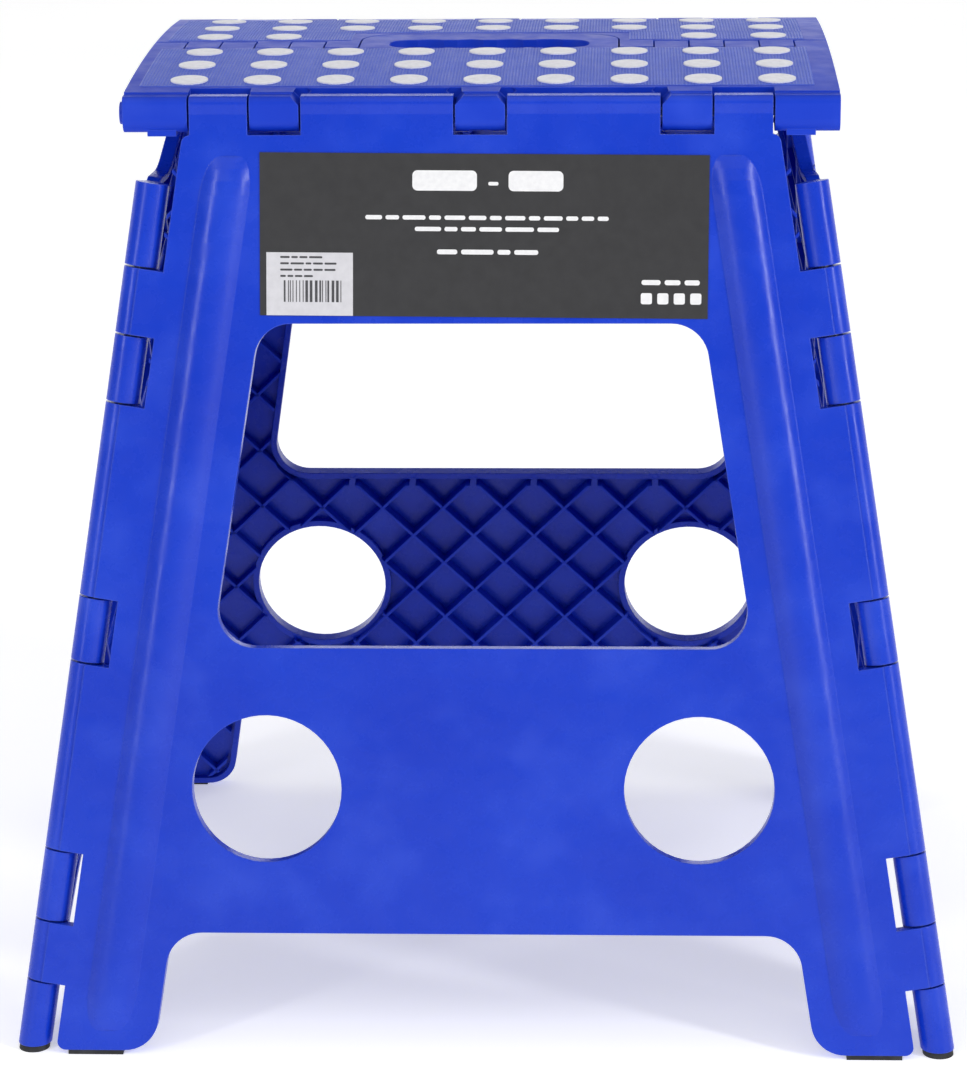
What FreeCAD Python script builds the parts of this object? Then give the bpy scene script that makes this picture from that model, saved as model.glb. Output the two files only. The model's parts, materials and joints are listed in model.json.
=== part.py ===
import FreeCAD, Part
import math
import os

# Folding step stool. Two leg panels and four side halves stand under a top made of two halves.
# Right is +X, the front faces -Y, up is +Z, and the origin is on the floor under the middle.
V = FreeCAD.Vector
SUB_PARTS = []

os.makedirs("parts", exist_ok=True)
doc = FreeCAD.newDocument("folding_step_stool")
sheet = doc.addObject("Spreadsheet::Sheet", "Sizes")


# ---------------------------------------------------------------- driving dimensions, mm and degrees
SIZES = {
    "height": 390.0,                # crown of the tread above the floor
    "lean": 8.58,                   # leg panels lean outwards by this much
    "hinge_splay": 0.1545,          # corner hinges spread by this much per mm down the panel
    "skin_front_y": 100.08,         # leg skin in front of the middle, at the height of the crown
    "top_hinge_drop": 10.82,        # top hinge axis, measured down the panel from the crown's height
    "corner_half_width": 124.8,     # corner hinge from the middle, at the height of the crown
    "skin": 2.8,                    # wall thickness of every moulding
    "leg_depth": 6.4,               # full depth of a leg panel, skin and rim
    "side_depth": 5.4,              # full depth of a side half, skin and rim
    "top_barrel": 7.38,             # radius of the knuckles along the top edges
    "corner_barrel": 6.8,           # radius of the knuckles down the corners
    "centre_barrel": 4.2,           # radius of the knuckles in the middle of each side
    "rod": 1.75,                    # radius of every hinge rod
    "running": 0.05,                # radial clearance of a knuckle that turns on its rod
    "side_pivot_play": 0.95,        # radial clearance in the right rear corner
    "rear_pivot_play": 2.35,        # radial clearance in the rear leg's top knuckles
    "knuckle_gap": 0.8,             # axial gap between neighbouring knuckles
    "notch": 9.8,                   # panel edge from a corner hinge beside a knuckle of its neighbour
    "top_notch": 8.7,               # leg panel edge from the top hinge beside a knuckle of the tread
    "knuckle_brow": 3.0,            # rounding of a top knuckle's upper front edge
    "knuckle_chin": 5.5,            # rounding of its lower front edge
    "tread_clear": 1.05,            # tread clear of the leg knuckles in front of it
    "window_top": 94.1,             # leg window, measured down the panel from the crown's height
    "window_bottom": 225.0,
    "window_top_half": 88.3,
    "window_bottom_half": 109.0,
    "corner_round": 15.0,
    "edge_round": 3.4,              # small outer corners, wider than the wall so that it can follow them
    "hole_centre": 87.5,
    "hole_drop": 282.9,
    "hole_radius": 30.35,
    "arch_drop": 342.9,
    "arch_half": 127.4,
    "foot_drop": 392.6,
    "foot_inner": 135.3,
    "column_width": 20.6,
    "column_height": 4.2,
    "column_inset": 29.6,           # column centre line from the corner hinge
    "column_top": 27.0,
    "column_bottom": 385.0,
    "column_taper": 16.0,
    "top_half_width": 141.5,
    "crown_drop": 3.6,              # how far the tread falls from the crown to a top hinge
    "finger_reach": 7.2,            # top finger past the middle
    "finger_gap": 9.0,              # tread edge from the middle, beside a finger of the other half
    "tread_edge": 6.4,              # tread edge behind a leg knuckle, from the hinge axis
    "handle_half": 54.4,
    "finger_pitch": 14.65,          # width of each finger between the tread halves, gap included
    "handle_reach": 29.0,           # handle past the middle
    "handle_corner": 17.0,
    "handle_opening_half": 42.0,
    "handle_opening_front": 8.5,
    "handle_opening_rear": 12.2,
    "scallop_depth": 1.3,
    "scallop_radius": 12.2,
    "scallop_pitch": 16.8,
    "dot_radius": 7.5,
    "dot_pitch_x": 29.38,
    "dot_pitch_y": 27.9,
    "dot_first_y": 19.9,
    "dot_proud": 0.7,
    "dot_sunk": 1.2,
    "dot_play": 0.05,
    "side_top": 367.0,
    "side_shoulder": 350.0,
    "side_arch": 75.0,
    "side_leg_width": 46.0,
    "side_foot_height": 6.5,
    "horn_top_inset": 36.0,         # raised middle of a side's top edge, from its corner edge
    "horn_foot_inset": 19.0,
    "centre_knuckles": 9,
    "skin_turn": 2.6,               # side skin turned out of the plane of its two hinges
    "prefold": 2.4,                 # tread and side halves are this far past flat when open
    "pad_length": 22.6,
    "pad_centre": 159.2,
    "round_foot": 6.2,
    "round_foot_height": 2.6,       # corner knuckles are cut off level at this height
    "rod_head": 4.5,
    "rod_head_length": 1.5,
    "cap_recess": 1.7,              # depth of the counterbore that a rod's cap sits in
    "stop_inner": 120.5,            # small stops under the front edge, from the middle
    "stop_outer": 132.0,
    "latch_half": 4.3,              # half width of the notch under the middle knuckle
    "corner_chamfer": 2.6,          # half side of the chamfers beside the wide leg knuckles
    "label_width": 177.6,
    "label_height": 64.5,
    "label_drop": 59.2,
    "label_centre": 1.3,
    "label_thickness": 0.3,
    "sticker_width": 34.4,
    "sticker_height": 25.0,
    "sticker_thickness": 0.2,
    "sticker_left": 2.6,            # sticker from the label's left edge
    "sticker_low": 0.1,             # and from its bottom edge
}
for row, (alias, value) in enumerate(SIZES.items(), start=1):
    sheet.set(f"A{row}", alias)
    sheet.set(f"B{row}", str(value))
    sheet.setAlias(f"B{row}", alias)
doc.recompute()


def size(alias):
    return float(getattr(sheet, alias))


# ---------------------------------------------------------------- where the hinges lie
LEAN = math.radians(size("lean"))
BARREL = size("top_barrel")
# The leg panels' hinge planes meet along a line above the stool, where each side's hinges meet too.
APEX_Z = size("height") + (size("skin_front_y") - BARREL / math.cos(LEAN)) / math.tan(LEAN)
TOP_DROP = size("top_hinge_drop")
TOP_Z = size("height") - TOP_DROP * math.cos(LEAN) - BARREL * math.sin(LEAN)
TOP_Y = (APEX_Z - TOP_Z) * math.tan(LEAN)
TOP_LINK = TOP_Y / math.cos(math.radians(size("prefold")))
CENTRE_Z = TOP_Z + TOP_LINK * math.sin(math.radians(size("prefold")))
APEX_DROP = (size("height") - APEX_Z - BARREL * math.sin(LEAN)) / math.cos(LEAN)
APEX_X = size("corner_half_width") + size("hinge_splay") * APEX_DROP
SPLAY = math.atan(size("hinge_splay"))


def leg_place(rear):
    """The leg panel's own frame: X across, Z up the slope, -Y out of the skin, origin on the top hinge."""
    lean_over = FreeCAD.Placement(V(0, -TOP_Y, TOP_Z), FreeCAD.Rotation(V(1, 0, 0), -size("lean")))
    turn = FreeCAD.Placement(V(0, 0, 0), FreeCAD.Rotation(V(0, 0, 1), 180 if rear else 0))
    return turn.multiply(lean_over)


def corner_point(side, drop):
    """A point on the corner hinge, in the leg panel's own frame."""
    across = size("corner_half_width") + size("hinge_splay") * drop
    return V(side * across, 0, TOP_DROP - drop)


CORNER_DIRECTION = leg_place(False).Rotation.multVec(V(math.sin(SPLAY), 0, -math.cos(SPLAY)))
TILT_REACH = math.hypot(CORNER_DIRECTION.y, CORNER_DIRECTION.z)
APEX_DISTANCE = math.hypot(TOP_Y, APEX_Z - TOP_Z)
HALF_ANGLE = math.asin(TILT_REACH * TOP_LINK / APEX_DISTANCE)


def side_place(side, rear):
    """A side half's own frame: origin at the apex, Z up the centre hinge, X towards its corner."""
    corner = V(side * CORNER_DIRECTION.x, CORNER_DIRECTION.y * (-1 if rear else 1), CORNER_DIRECTION.z)
    in_plane = math.hypot(corner.x, corner.z)
    turn = math.atan2(abs(corner.x), -corner.z) - math.acos(math.cos(HALF_ANGLE) / in_plane)
    up = V(-side * math.sin(turn), 0, math.cos(turn))
    flat = corner - up * corner.dot(up)
    flat.normalize()
    outward = up.cross(flat)
    outward = outward * (1 if outward.x * side > 0 else -1)
    skin_turn = math.radians(size("skin_turn"))
    toward_corner = flat * math.cos(skin_turn) + outward * math.sin(skin_turn)
    rotation = FreeCAD.Rotation(toward_corner, up.cross(toward_corner), up, "ZXY")
    return FreeCAD.Placement(V(side * APEX_X, 0, APEX_Z), rotation)


# ---------------------------------------------------------------- small building blocks
def bind(thing, **expressions):
    for name, expression in expressions.items():
        thing.setExpression(name, expression)
    return thing


def rounded(points):
    """Lines and arcs round a closed outline of (x, y, corner radius)."""
    edges = []
    ends = []
    count = len(points)
    for index, (x, y, radius) in enumerate(points):
        here = V(x, y, 0)
        before = V(*points[index - 1][:2], 0) - here
        after = V(*points[(index + 1) % count][:2], 0) - here
        before.normalize()
        after.normalize()
        half = before.getAngle(after) / 2
        reach = radius / math.tan(half)
        middle = before + after
        start = here + before * reach
        end = here + after * reach
        if radius > 0:
            middle.normalize()
            bulge = here + middle * (radius / math.sin(half) - radius)
            edges.append(Part.Arc(start, bulge, end))
        ends.append((start, end))
    for index in range(count):
        leave = ends[index][1]
        arrive = ends[(index + 1) % count][0]
        if leave.distanceToPoint(arrive) > 1e-6:
            edges.append(Part.LineSegment(leave, arrive))
    return edges


def mirrored(points):
    """The outline with its mirror image across X = 0."""
    return points + [(-x, y, radius) for x, y, radius in reversed(points)]


def origin_plane(body, role):
    return next(plane for plane in body.Origin.OriginFeatures if plane.Role == role)


def sketch_on(body, name, role, loops):
    sketch = body.newObject("Sketcher::SketchObject", name)
    sketch.AttachmentSupport = [(origin_plane(body, role), "")]
    sketch.MapMode = "FlatFace"
    for loop in loops:
        sketch.addGeometry(loop, False)
    return sketch


def moulded_plate(name, loops, depth, outward, start=None):
    """A plate in the XZ plane, hollowed from behind so that a skin and a rim are left."""
    body = doc.addObject("PartDesign::Body", name)
    sketch = sketch_on(body, name + "_outline", "XZ_Plane", loops)
    if start:
        bind(sketch, **{".AttachmentOffset.Base.z": start})
    pad = body.newObject("PartDesign::Pad", name + "_pad")
    pad.Profile = sketch
    bind(pad, Length=depth)
    pad.Reversed = outward < 0 and start is None
    doc.recompute()
    flat = [face for face in pad.Shape.Faces if abs(face.normalAt(0, 0).y) > 0.99]
    back = min(flat, key=lambda face: outward * face.CenterOfMass.y)
    number = next(i for i, face in enumerate(pad.Shape.Faces, start=1) if face.isSame(back))
    hollow = body.newObject("PartDesign::Thickness", name + "_hollow")
    hollow.Base = (pad, [f"Face{number}"])
    bind(hollow, Value="Sizes.skin")
    hollow.Reversed = True
    hollow.Join = 1
    body.Tip = hollow
    doc.recompute()
    if hollow.Shape.Volume > 0.9 * pad.Shape.Volume:
        raise RuntimeError(name + " was not hollowed")
    return body


def cylinder(name, radius, start, end):
    """A cylinder whose radius is a cell, or a sum of cells."""
    thing = doc.addObject("Part::Cylinder", name)
    bind(thing, Radius=radius)
    thing.Height = start.distanceToPoint(end)
    thing.Placement = FreeCAD.Placement(start, FreeCAD.Rotation(V(0, 0, 1), end - start))
    return thing


def block(name, low, high, place=None):
    """A box between two corners, in the frame that place gives."""
    thing = doc.addObject("Part::Box", name)
    thing.Length, thing.Width, thing.Height = high - low
    corner = FreeCAD.Placement(low, FreeCAD.Rotation())
    thing.Placement = place.multiply(corner) if place else corner
    return thing


def across_pad(name, loop, half):
    """A section in the YZ plane, padded to both sides of the middle."""
    body = doc.addObject("PartDesign::Body", name)
    sketch = sketch_on(body, name + "_section", "YZ_Plane", [loop])
    pad = body.newObject("PartDesign::Pad", name + "_pad")
    pad.Profile = sketch
    bind(pad, Length=f"2 * ({half})")
    pad.Midplane = True
    return body


def joined(name, pieces):
    thing = doc.addObject("Part::MultiFuse", name)
    thing.Shapes = pieces
    return thing


def cut(name, base, tools):
    cutter = tools[0] if len(tools) == 1 else joined(name + "_cutters", tools)
    thing = doc.addObject("Part::Cut", name)
    thing.Base = base
    thing.Tool = cutter
    return thing


def common(name, base, tool):
    thing = doc.addObject("Part::Common", name)
    thing.Base = base
    thing.Tool = tool
    return thing


def finish(thing, label, place=None):
    """Give a sub-part its own label, which names its file, and put it in its place."""
    thing.Label = label
    if place:
        thing.Placement = place
    SUB_PARTS.append(thing)
    return thing


def own_and_other(ranges, gap):
    """The stretches of a hinge, shortened by half the gap at each end."""
    return [(start + gap / 2, end - gap / 2) for start, end in ranges]


# ---------------------------------------------------------------- knuckle stretches
GAP = size("knuckle_gap")
CORNER_LEG = own_and_other([(71.7, 98.9), (126.2, 205.0), (231.6, 309.4), (338.8, 364.4)], GAP)
CORNER_SIDE = own_and_other([(38.0, 71.7), (98.9, 126.2), (205.0, 231.6), (309.4, 338.8), (364.4, 396.0)], GAP)
TOP_ENDS = (-141.9, -115.5, -91.65, -71.3, -10.25, 10.25, 71.3, 91.65, 115.5, 141.9)
TOP_STRETCHES = own_and_other(list(zip(TOP_ENDS, TOP_ENDS[1:])), GAP)
TOP_HALF_KNUCKLES = TOP_STRETCHES[0::2]
TOP_LEG_KNUCKLES = TOP_STRETCHES[1::2]
WIDE_KNUCKLE_ENDS = TOP_ENDS[3:7]
FINGER_ENDS = [size("handle_half") + size("finger_pitch") * i for i in range(6)] + [size("top_half_width")]
FINGERS = list(zip(FINGER_ENDS, FINGER_ENDS[1:]))


def top_knuckle(name, start, end, sign, place):
    """A knuckle on a top edge: round behind, squared in front. place puts the hinge at its origin."""
    barrel = cylinder(name + "_barrel", "Sizes.top_barrel", V(start, 0, 0), V(end, 0, 0))
    barrel.Placement = place.multiply(barrel.Placement)
    front = sign * BARREL
    loop = rounded([(0, BARREL, 0), (front, BARREL, size("knuckle_brow")),
                    (front, -BARREL, size("knuckle_chin")), (0, -BARREL, 0)])
    face = across_pad(name + "_face", loop, f"{(end - start) / 2}")
    face.Placement = place.multiply(FreeCAD.Placement(V((start + end) / 2, 0, 0), FreeCAD.Rotation()))
    return [barrel, face]


# ---------------------------------------------------------------- leg panels
def leg_outline(top_notch):
    edge = size("notch") / math.cos(SPLAY)
    small = size("edge_round")

    def edge_x(drop):
        return corner_point(1, drop).x - edge

    top = TOP_DROP + top_notch
    foot = size("foot_drop")
    half = [
        (edge_x(top), TOP_DROP - top, small),
        (edge_x(foot), TOP_DROP - foot, small),
        (size("foot_inner"), TOP_DROP - foot, 14.0),
        (size("arch_half"), TOP_DROP - size("arch_drop"), size("corner_round")),
    ]
    return rounded(mirrored(half))


def leg_window():
    half = [
        (size("window_top_half"), TOP_DROP - size("window_top"), size("corner_round")),
        (size("window_bottom_half"), TOP_DROP - size("window_bottom"), size("corner_round")),
    ]
    return rounded(mirrored(half))


def column(name, side):
    """The raised rib beside a corner hinge, rounded off at each end."""
    inset = side * size("column_inset") / math.cos(SPLAY)
    top = size("column_top")
    bottom = size("column_bottom")
    taper = size("column_taper")
    turns = [math.radians(angle) for angle in (20, 35, 50, 70, 90)]
    top_end = [(top + taper * (1 - math.cos(turn)), math.sin(turn)) for turn in turns]
    bottom_end = [(bottom - taper * (1 - math.cos(turn)), math.sin(turn)) for turn in reversed(turns)]
    stations = top_end + bottom_end
    sections = []
    for index, (drop, share) in enumerate(stations):
        across = corner_point(side, drop).x - inset
        half = size("column_width") / 2 * (0.5 + share / 2)
        rise = size("column_height") * share * share
        sketch = doc.addObject("Sketcher::SketchObject", f"{name}_section_{index}")
        skin = -BARREL + 0.5
        left = V(across - half, skin, 0)
        right = V(across + half, skin, 0)
        sketch.addGeometry(Part.Arc(left, V(across, -BARREL - rise, 0), right), False)
        sketch.addGeometry(Part.LineSegment(right, left), False)
        sketch.Placement = FreeCAD.Placement(V(0, 0, TOP_DROP - drop), FreeCAD.Rotation())
        sections.append(sketch)
    loft = doc.addObject("Part::Loft", name)
    loft.Sections = sections
    loft.Solid = True
    loft.Ruled = True
    return loft


def leg_panel(label, rear):
    holes = [[Part.Circle(V(x, TOP_DROP - size("hole_drop"), 0), V(0, 0, 1), size("hole_radius"))]
             for x in (-size("hole_centre"), size("hole_centre"))]
    top_notch = size("top_notch") + (size("rear_pivot_play") if rear else 0)
    plate = moulded_plate(label + "_plate", [leg_outline(top_notch), leg_window()] + holes,
                          "Sizes.leg_depth", -1, "Sizes.top_barrel - Sizes.leg_depth")
    back = -BARREL + size("leg_depth")
    reach = size("notch") + size("skin")
    pieces = [plate]
    bores = []
    upright = FreeCAD.Placement(V(0, 0, 0), FreeCAD.Rotation(V(1, 0, 0), size("lean")))
    for index, (start, end) in enumerate(TOP_LEG_KNUCKLES):
        pieces += top_knuckle(f"{label}_top_knuckle_{index}", start, end, -1, upright)
        low = V(start, -BARREL, -top_notch - size("skin"))
        pieces.append(block(f"{label}_top_tab_{index}", low, V(end, back, 0)))
    play = "Sizes.rear_pivot_play" if rear else "0"
    half = size("top_half_width") + 1
    bores.append(cylinder(label + "_top_bore", f"Sizes.rod + {play}", V(-half, 0, 0), V(half, 0, 0)))
    for side in (-1, 1):
        name = f"{label}_{'right' if side > 0 else 'left'}"
        pieces.append(column(name + "_column", side))
        for index, (start, end) in enumerate(CORNER_LEG):
            low = corner_point(side, start)
            high = corner_point(side, end)
            pieces.append(cylinder(f"{name}_barrel_{index}", "Sizes.corner_barrel", low, high))
            place = FreeCAD.Placement(high, FreeCAD.Rotation(V(0, 1, 0), side * -math.degrees(SPLAY)))
            inner, outer = (-reach, 0) if side > 0 else (0, reach)
            pieces.append(block(f"{name}_tab_{index}", V(inner, -BARREL, 0),
                                V(outer, back, low.distanceToPoint(high)), place))
        bores.append(cylinder(name + "_bore", "Sizes.rod", corner_point(side, 30), corner_point(side, 395)))
    solid = joined(label + "_solid", pieces)
    return finish(cut(label + "_cut", solid, bores), label, leg_place(rear))


# ---------------------------------------------------------------- side halves
def side_length(world_z):
    """The local height of a world height, along the centre hinge."""
    return (world_z - APEX_Z) / side_place(1, False).Rotation.multVec(V(0, 0, 1)).z


def side_corner(outward, distance):
    """A point on the corner hinge in a side half's own frame, this far from the apex."""
    turn = math.radians(size("skin_turn"))
    across = distance * math.sin(HALF_ANGLE)
    return V(across * math.cos(turn), -outward * across * math.sin(turn), -distance * math.cos(HALF_ANGLE))


def apex_distance(drop):
    return (drop - APEX_DROP) / math.cos(SPLAY)


def side_edge_x(z):
    """The panel edge beside its corner hinge, at a local height."""
    return side_corner(1, -z / math.cos(HALF_ANGLE)).x - size("notch") / math.cos(HALF_ANGLE)


def side_outline():
    top = side_length(size("side_top"))
    shoulder = side_length(size("side_shoulder"))
    arch = side_length(size("side_arch"))
    foot = side_length(size("side_foot_height"))
    centre = size("centre_barrel") + 0.9
    leg = size("side_leg_width")
    small = size("edge_round")
    return rounded([
        (centre, top, small),
        (side_edge_x(shoulder) - size("horn_top_inset"), top, 10.0),
        (side_edge_x(shoulder) - size("horn_foot_inset"), shoulder, 12.0),
        (side_edge_x(shoulder), shoulder, small),
        (side_edge_x(foot), foot, small),
        (side_edge_x(foot) - leg + 14, foot, 12.0),
        (side_edge_x(arch) - leg, arch, 34.0),
        (centre, arch, small),
    ])


def side_half(label, side, rear, loose):
    """One half of a side. Opposite halves on the two sides are the same moulding turned round."""
    outward = 1 if (side > 0) != rear else -1
    first = 0 if outward > 0 else 1
    plate = moulded_plate(label + "_plate", [side_outline()], "Sizes.side_depth", outward)
    inner, outer = sorted((-outward * size("side_depth"), 0))
    pieces = [plate]
    play = "Sizes.side_pivot_play" if loose else "Sizes.running"
    for index, (start, end) in enumerate(CORNER_SIDE):
        low = side_corner(outward, apex_distance(start))
        high = side_corner(outward, apex_distance(end))
        pieces.append(cylinder(f"{label}_barrel_{index}", "Sizes.corner_barrel", low, high))
        turn = FreeCAD.Rotation(V(0, 1, 0), -math.degrees(HALF_ANGLE))
        place = FreeCAD.Placement(V(high.x, 0, high.z), turn)
        reach = size("notch") + size("skin")
        pieces.append(block(f"{label}_tab_{index}", V(-reach, inner, 0),
                            V(0, outer, low.distanceToPoint(high)), place))
    top = side_length(size("side_top") - 4)
    bottom = side_length(size("side_arch") + 4)
    count = int(size("centre_knuckles"))
    pitch = (top - bottom) / count
    for index in range(first, count, 2):
        start = top - pitch * index - GAP / 2
        end = top - pitch * (index + 1) + GAP / 2
        ends = (V(0, 0, end), V(0, 0, start))
        pieces.append(cylinder(f"{label}_centre_barrel_{index}", "Sizes.centre_barrel", *ends))
        reach = size("centre_barrel") + size("skin")
        tab_inner, tab_outer = sorted((-outward * size("centre_barrel"), 0))
        pieces.append(block(f"{label}_centre_tab_{index}", V(0, tab_inner, end), V(reach, tab_outer, start)))
    corner_bore = cylinder(label + "_bore", f"Sizes.rod + {play}",
                           side_corner(outward, apex_distance(28)), side_corner(outward, apex_distance(398)))
    centre_play = "0" if not rear else "Sizes.running"
    ends = (V(0, 0, bottom - 9), V(0, 0, top + 9))
    centre_bore = cylinder(label + "_centre_bore", f"Sizes.rod + {centre_play}", *ends)
    place = side_place(side, rear)
    below = block(label + "_foot_limit", V(-400, -400, -60), V(400, 400, size("round_foot_height")), place.inverse())
    solid = joined(label + "_solid", pieces)
    return finish(cut(label + "_cut", solid, [corner_bore, centre_bore, below]), label, place)


# ---------------------------------------------------------------- the two halves of the tread
def crown(y, below=0.0):
    """Height of the tread at a distance from the middle."""
    return size("height") - below - size("crown_drop") * (y / TOP_Y) ** 2


def tread_section(sign, front, back, below=0.0, floor=None):
    """The tread's section from its leg end to past the middle: crowned top, straight underside."""
    middle = (front + back) / 2
    top_front = V(sign * front, crown(front, below), 0)
    top_back = V(sign * back, crown(back, below), 0)
    low_front = V(sign * front, floor or TOP_Z + (CENTRE_Z - TOP_Z) * (1 - front / TOP_Y), 0)
    low_back = V(sign * back, floor or CENTRE_Z, 0)
    return [
        Part.Arc(top_front, V(sign * middle, crown(middle, below), 0), top_back),
        Part.LineSegment(top_back, low_back),
        Part.LineSegment(low_back, low_front),
        Part.LineSegment(low_front, top_front),
    ]


def plan_pad(name, loops, low, high):
    """An outline in plan, padded between two heights."""
    body = doc.addObject("PartDesign::Body", name)
    sketch = sketch_on(body, name + "_outline", "XY_Plane", loops)
    sketch.AttachmentOffset = FreeCAD.Placement(V(0, 0, low), FreeCAD.Rotation())
    pad = body.newObject("PartDesign::Pad", name + "_pad")
    pad.Profile = sketch
    pad.Length = high - low
    return body


def span(name, x_range, y_range, z_range):
    """A box between two limits on each axis, whichever way round they come."""
    lows = [min(limits) for limits in (x_range, y_range, z_range)]
    highs = [max(limits) for limits in (x_range, y_range, z_range)]
    return block(name, V(*lows), V(*highs))


def dot_places(rear):
    """Centres of the grip dots on one half of the tread, clear of the handle."""
    sign = 1 if rear else -1
    places = []
    for row in range(3):
        y = sign * (size("dot_first_y") + row * size("dot_pitch_y"))
        for step in range(-4, 5):
            beside_handle = rear and row == 0 and abs(step) < 3
            if not beside_handle:
                places.append((step * size("dot_pitch_x"), y))
    return places


def dot_disc(name, x, y, radius, proud):
    """A disc lying on the crowned tread, sunk into it and standing out by proud."""
    slope = math.degrees(math.atan(-2 * size("crown_drop") * y / TOP_Y ** 2))
    turn = FreeCAD.Rotation(V(1, 0, 0), slope)
    base = V(x, y, crown(y)) - turn.multVec(V(0, 0, size("dot_sunk")))
    thing = doc.addObject("Part::Cylinder", name)
    bind(thing, Radius=radius, Height=f"Sizes.dot_sunk + {proud}")
    thing.Placement = FreeCAD.Placement(base, turn)
    return thing


def handle_outline(name, grow, low, high):
    """The handle's outline in plan, a tongue of the front half with round rear corners."""
    half = size("handle_half") - GAP / 2 + grow
    rear = size("handle_reach") + grow
    corner = size("handle_corner") + grow
    corners = [(-half, -20, 0), (half, -20, 0), (half, rear, corner), (-half, rear, corner)]
    return plan_pad(name, [rounded(corners)], low, high)


def handle_opening(name, low, high):
    """The hand opening: a long slot whose rear edge is scalloped for four fingers."""
    half = size("handle_opening_half")
    rear = size("handle_opening_rear")
    front = -size("handle_opening_front")
    corners = [(-half, front, 8), (half, front, 8), (half, rear, 9), (-half, rear, 9)]
    slot = plan_pad(name + "_slot", [rounded(corners)], low, high)
    pieces = [slot]
    for finger in range(4):
        x = (finger - 1.5) * size("scallop_pitch")
        centre = V(x, rear + size("scallop_depth") - size("scallop_radius"), low)
        top = V(centre.x, centre.y, high)
        pieces.append(cylinder(f"{name}_scallop_{finger}", "Sizes.scallop_radius", centre, top))
    return joined(name, pieces)


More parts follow.
